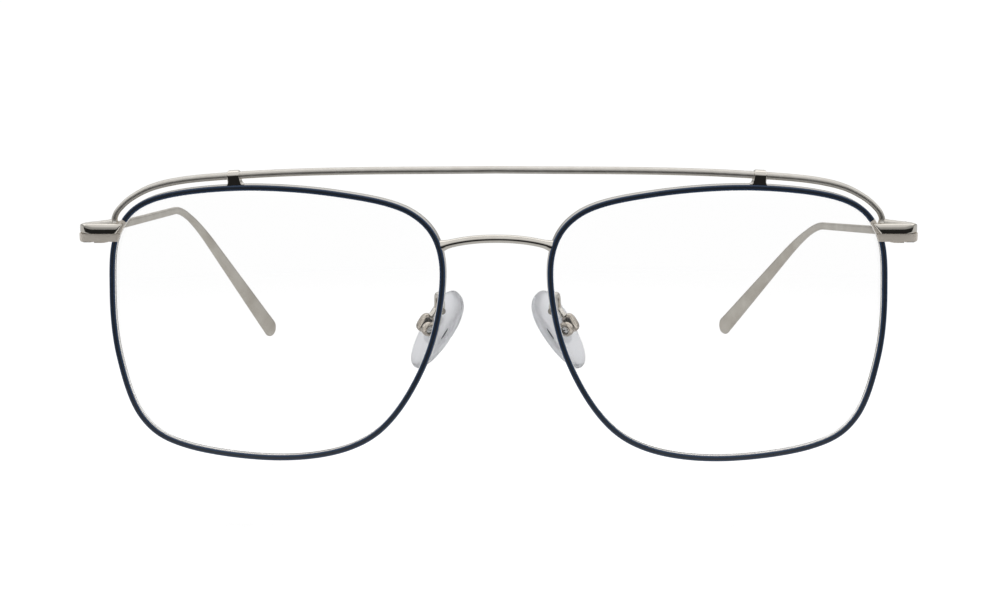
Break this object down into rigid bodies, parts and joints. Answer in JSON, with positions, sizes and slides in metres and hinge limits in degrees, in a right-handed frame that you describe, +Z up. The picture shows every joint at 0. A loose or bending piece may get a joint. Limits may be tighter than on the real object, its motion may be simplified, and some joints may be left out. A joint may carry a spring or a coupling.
{
  "type": "eyeglass frame",
  "caption": "Metal eyeglass frame with squared pilot lenses, a brow bar above a lower bridge, folding temples and rocking nose pads.",
  "frame": {"origin": "middle of the underside of the open glasses, standing on both eyewires and both temple tips", "axes": "-Y is the way the wearer looks, +Z is up, +X is the wearer's left"},
  "size_m": [0.1418, 0.1391, 0.0512],
  "materials": {
    "navy_enamelled_eyewire": "navy enamel on the front face of a nickel-plated wire",
    "clear_demo_lens": "clear polished demo lens",
    "bright_nickel_wire": "bright warm nickel plate",
    "bright_nickel": "bright warm nickel plate",
    "steel_screw": "turned steel, slotted head",
    "satin_nickel_temple": "satin nickel plate",
    "clear_plastic_core": "clear moulded insert",
    "clear_silicone": "clear soft silicone"
  },
  "bodies": {
    "front": {"eyewire_left": "navy_enamelled_eyewire", "eyewire_right": "navy_enamelled_eyewire", "lens_left": "clear_demo_lens", "lens_right": "clear_demo_lens", "bridge": "bright_nickel_wire", "brow_bar": "bright_nickel_wire", "brow_post_left": "bright_nickel", "brow_post_right": "bright_nickel", "end_piece_left": "bright_nickel", "end_piece_right": "bright_nickel", "rim_lock_left": "bright_nickel", "rim_lock_right": "bright_nickel", "lock_screw_left": "steel_screw", "lock_screw_right": "steel_screw", "hinge_front_left": "bright_nickel", "hinge_front_right": "bright_nickel", "hinge_screw_left": "steel_screw", "hinge_screw_right": "steel_screw", "pad_arm_left": "bright_nickel_wire", "pad_arm_right": "bright_nickel_wire", "pad_box_left": "bright_nickel", "pad_box_right": "bright_nickel", "pad_screw_left": "steel_screw", "pad_screw_right": "steel_screw"},
    "temple_left": {"temple_left": "satin_nickel_temple", "hinge_temple_left": "bright_nickel"},
    "temple_right": {"temple_right": "satin_nickel_temple", "hinge_temple_right": "bright_nickel"},
    "nose_pad_left": {"nose_pad_left": "clear_silicone", "pad_core_left": "clear_plastic_core"},
    "nose_pad_right": {"nose_pad_right": "clear_silicone", "pad_core_right": "clear_plastic_core"}
  },
  "joints": [
    {"name": "temple_fold_left", "type": "hinge", "parent": "front", "child": "temple_left", "pos_m": [0.06805, -0.05785, 0.03876], "axis": [0, -0.0808, 0.9967], "range_deg": [0, 84]},
    {"name": "temple_fold_right", "type": "hinge", "parent": "front", "child": "temple_right", "pos_m": [-0.06805, -0.05785, 0.03876], "axis": [0, 0.0808, -0.9967], "range_deg": [0, 84]},
    {"name": "pad_rock_left", "type": "hinge", "parent": "front", "child": "nose_pad_left", "pos_m": [0.01224, -0.05785, 0.0226], "axis": [-0.424, -0.8418, -0.334], "range_deg": [-8, 8]},
    {"name": "pad_rock_right", "type": "hinge", "parent": "front", "child": "nose_pad_right", "pos_m": [-0.01224, -0.05785, 0.0226], "axis": [0.424, -0.8418, -0.334], "range_deg": [-8, 8]}
  ]
}
